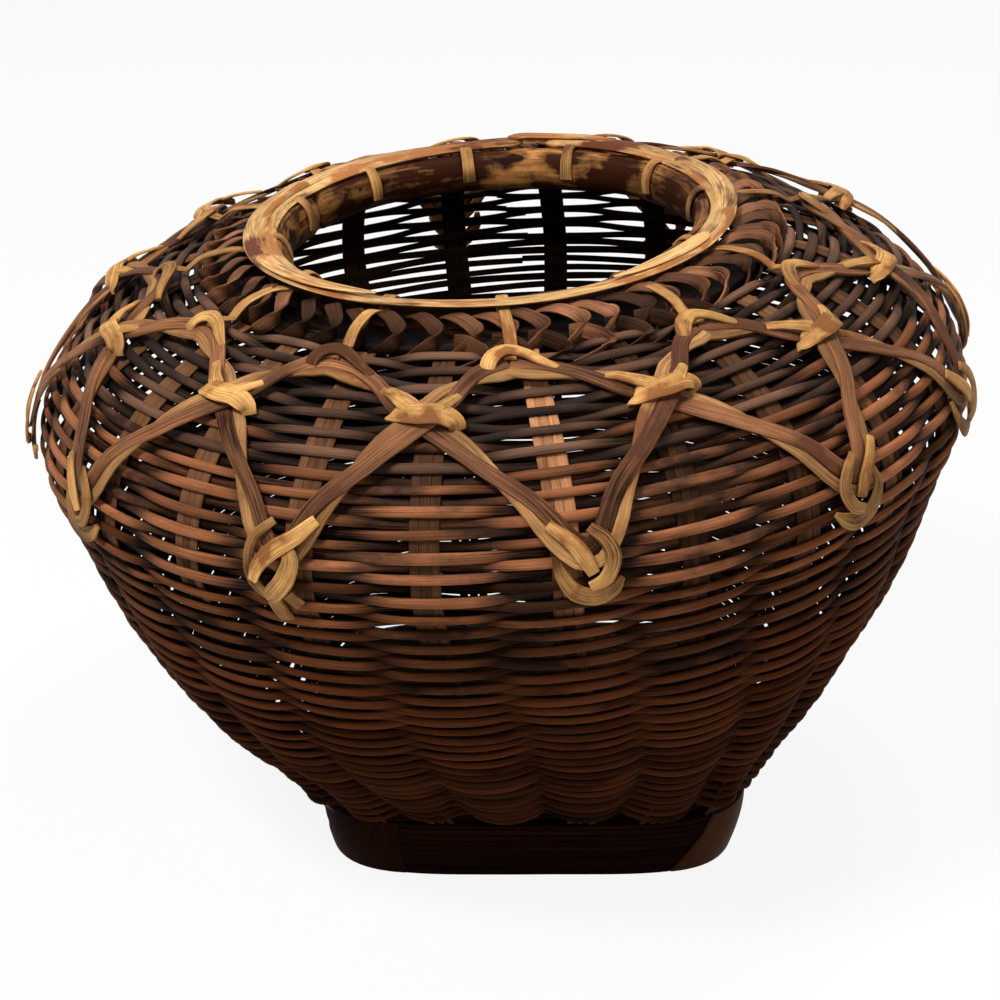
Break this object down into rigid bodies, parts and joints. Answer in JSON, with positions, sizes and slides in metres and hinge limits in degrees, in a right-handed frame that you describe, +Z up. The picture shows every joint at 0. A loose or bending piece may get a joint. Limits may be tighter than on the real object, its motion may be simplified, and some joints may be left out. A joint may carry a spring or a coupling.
{
  "type": "basket vase",
  "caption": "Squat woven basket vase with an open mouth, rounded-square foot, plaited border and a lattice of tied strips on its shoulder.",
  "frame": {"origin": "on the table, under the centre of the whole outline", "axes": "+Z up through the mouth, -Y towards the front, +X to the right of the front"},
  "size_m": [0.2964, 0.2964, 0.207],
  "materials": {
    "dark_weft": "dark brown, satin",
    "brown_weft": "brown, satin",
    "braid_brown": "dark brown, matt",
    "hoop_brown": "reddish brown, satin",
    "straw": "straw, satin",
    "lattice_brown": "purple brown, satin",
    "foot_brown": "very dark brown, matt"
  },
  "bodies": {
    "root": {"foot_band": "foot_brown", "base_floor": "dark_weft", "wall_lower": "dark_weft", "wall_shoulder": "brown_weft", "rim_hoop_front": "hoop_brown", "rim_hoop_back": "hoop_brown", "rim_cap_strip": "straw", "braid_border": "braid_brown", "lattice_dark_a": "lattice_brown", "lattice_dark_b": "lattice_brown", "lattice_straw_a": "straw", "lattice_straw_b": "straw", "foot_corner_splint_1": "foot_brown", "foot_corner_splint_2": "foot_brown", "foot_corner_splint_3": "foot_brown", "foot_corner_splint_4": "foot_brown", "knot_middle_01": "straw", "loop_lower_01": "straw", "tie_upper_01": "straw", "knot_middle_02": "straw", "loop_lower_02": "straw", "tie_upper_02": "straw", "knot_middle_03": "straw", "loop_lower_03": "straw", "tie_upper_03": "straw", "knot_middle_04": "straw", "loop_lower_04": "straw", "tie_upper_04": "straw", "knot_middle_05": "straw", "loop_lower_05": "straw", "tie_upper_05": "straw", "knot_middle_06": "straw", "loop_lower_06": "straw", "tie_upper_06": "straw", "knot_middle_07": "straw", "loop_lower_07": "straw", "tie_upper_07": "straw", "knot_middle_08": "straw", "loop_lower_08": "straw", "tie_upper_08": "straw", "knot_middle_09": "straw", "loop_lower_09": "straw", "tie_upper_09": "straw", "knot_middle_10": "straw", "loop_lower_10": "straw", "tie_upper_10": "straw", "knot_middle_11": "straw", "loop_lower_11": "straw", "tie_upper_11": "straw", "knot_middle_12": "straw", "loop_lower_12": "straw", "tie_upper_12": "straw"}
  },
  "joints": []
}
